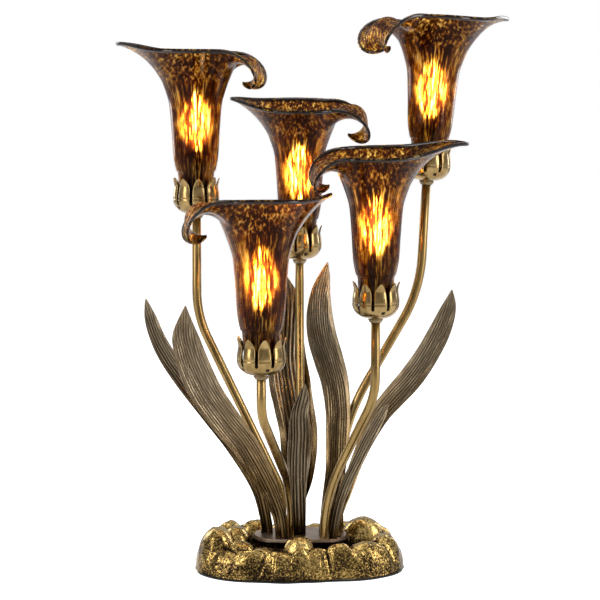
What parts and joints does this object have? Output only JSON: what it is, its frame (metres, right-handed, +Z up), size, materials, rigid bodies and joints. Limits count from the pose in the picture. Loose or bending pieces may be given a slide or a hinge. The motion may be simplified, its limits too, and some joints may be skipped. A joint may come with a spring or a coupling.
{
  "type": "table lamp",
  "caption": "Table lamp with glass lily shades on bent brass stems among stamped leaves, on a cast rock-shaped base; shades turn and lift off, bulbs come out.",
  "frame": {"origin": "middle of the felt's underside, on the table, under the stem plate", "axes": "+Z up, front of the lamp towards -Y, +X to the right seen from the front"},
  "size_m": [0.4122, 0.31, 0.5747],
  "materials": {
    "antique_gold": "antique gold paint, satin",
    "satin_brass": "satin",
    "antique_brass": "polished antique",
    "bronze_leaf": "brushed, darkened",
    "nickel": "satin",
    "amber_glass": "glossy, mottled amber and dark brown",
    "bulb_glass": "clear",
    "black_plastic": "matte",
    "black_rubber": "matte",
    "felt": "felt"
  },
  "bodies": {
    "lamp": {"base_casting": "antique_gold", "stem_plate": "antique_brass", "bottom_cover": "nickel", "cover_screws": "nickel", "felt_pad": "felt", "inlet_bushing": "black_plastic", "stem_washers": "nickel", "stem_nuts": "satin_brass", "lamp_leads": "black_rubber", "splice_caps": "black_plastic", "stem_1": "satin_brass", "stem_2": "satin_brass", "stem_3": "satin_brass", "stem_4": "satin_brass", "stem_5": "satin_brass", "collar_1": "antique_brass", "collar_2": "antique_brass", "collar_3": "antique_brass", "collar_4": "antique_brass", "collar_5": "antique_brass", "cup_1": "antique_brass", "cup_2": "antique_brass", "cup_3": "antique_brass", "cup_4": "antique_brass", "cup_5": "antique_brass", "socket_1": "black_plastic", "socket_2": "black_plastic", "socket_3": "black_plastic", "socket_4": "black_plastic", "socket_5": "black_plastic", "leaf_1": "bronze_leaf", "leaf_2": "bronze_leaf", "leaf_3": "bronze_leaf", "leaf_4": "bronze_leaf", "leaf_5": "bronze_leaf", "leaf_6": "bronze_leaf", "leaf_7": "bronze_leaf"},
    "seat_1": {"seat_ring_1": "black_rubber"},
    "glass_1": {"shade_1": "amber_glass"},
    "bulb_1": {"bulb_glass_1": "bulb_glass", "bulb_cap_1": "nickel"},
    "seat_2": {"seat_ring_2": "black_rubber"},
    "glass_2": {"shade_2": "amber_glass"},
    "bulb_2": {"bulb_glass_2": "bulb_glass", "bulb_cap_2": "nickel"},
    "seat_3": {"seat_ring_3": "black_rubber"},
    "glass_3": {"shade_3": "amber_glass"},
    "bulb_3": {"bulb_glass_3": "bulb_glass", "bulb_cap_3": "nickel"},
    "seat_4": {"seat_ring_4": "black_rubber"},
    "glass_4": {"shade_4": "amber_glass"},
    "bulb_4": {"bulb_glass_4": "bulb_glass", "bulb_cap_4": "nickel"},
    "seat_5": {"seat_ring_5": "black_rubber"},
    "glass_5": {"shade_5": "amber_glass"},
    "bulb_5": {"bulb_glass_5": "bulb_glass", "bulb_cap_5": "nickel"}
  },
  "joints": [
    {"name": "shade_1_turn", "type": "hinge", "parent": "lamp", "child": "seat_1", "pos_m": [-0.1065, 0.022, 0.3855], "axis": [0, 0, 1], "range_deg": [-180, 180]},
    {"name": "shade_1_lift", "type": "slide", "parent": "seat_1", "child": "glass_1", "axis": [0, 0, 1], "range_m": [0, 0.11]},
    {"name": "bulb_1_out", "type": "slide", "parent": "lamp", "child": "bulb_1", "axis": [0, 0, 1], "range_m": [0, 0.012]},
    {"name": "shade_2_turn", "type": "hinge", "parent": "lamp", "child": "seat_2", "pos_m": [0.0005, 0.096, 0.3315], "axis": [0, 0, 1], "range_deg": [-180, 180]},
    {"name": "shade_2_lift", "type": "slide", "parent": "seat_2", "child": "glass_2", "axis": [0, 0, 1], "range_m": [0, 0.08]},
    {"name": "bulb_2_out", "type": "slide", "parent": "lamp", "child": "bulb_2", "axis": [0, 0, 1], "range_m": [0, 0.012]},
    {"name": "shade_3_turn", "type": "hinge", "parent": "lamp", "child": "seat_3", "pos_m": [-0.0365, -0.106, 0.237], "axis": [0, 0, 1], "range_deg": [-170, 10]},
    {"name": "shade_3_lift", "type": "slide", "parent": "seat_3", "child": "glass_3", "axis": [0, 0, 1], "range_m": [0, 0.11]},
    {"name": "bulb_3_out", "type": "slide", "parent": "lamp", "child": "bulb_3", "axis": [0, 0, 1], "range_m": [0, 0.012]},
    {"name": "shade_4_turn", "type": "hinge", "parent": "lamp", "child": "seat_4", "pos_m": [0.0775, -0.032, 0.283], "axis": [0, 0, 1], "range_deg": [-75, 8]},
    {"name": "shade_4_lift", "type": "slide", "parent": "seat_4", "child": "glass_4", "axis": [0, 0, 1], "range_m": [0, 0.08]},
    {"name": "bulb_4_out", "type": "slide", "parent": "lamp", "child": "bulb_4", "axis": [0, 0, 1], "range_m": [0, 0.012]},
    {"name": "shade_5_turn", "type": "hinge", "parent": "lamp", "child": "seat_5", "pos_m": [0.134, 0.038, 0.419], "axis": [0.0529, 0.0178, 0.9984], "range_deg": [-180, 180]},
    {"name": "shade_5_lift", "type": "slide", "parent": "seat_5", "child": "glass_5", "axis": [0.0529, 0.0178, 0.9984], "range_m": [0, 0.11]},
    {"name": "bulb_5_out", "type": "slide", "parent": "lamp", "child": "bulb_5", "axis": [0.0529, 0.0178, 0.9984], "range_m": [0, 0.012]}
  ]
}
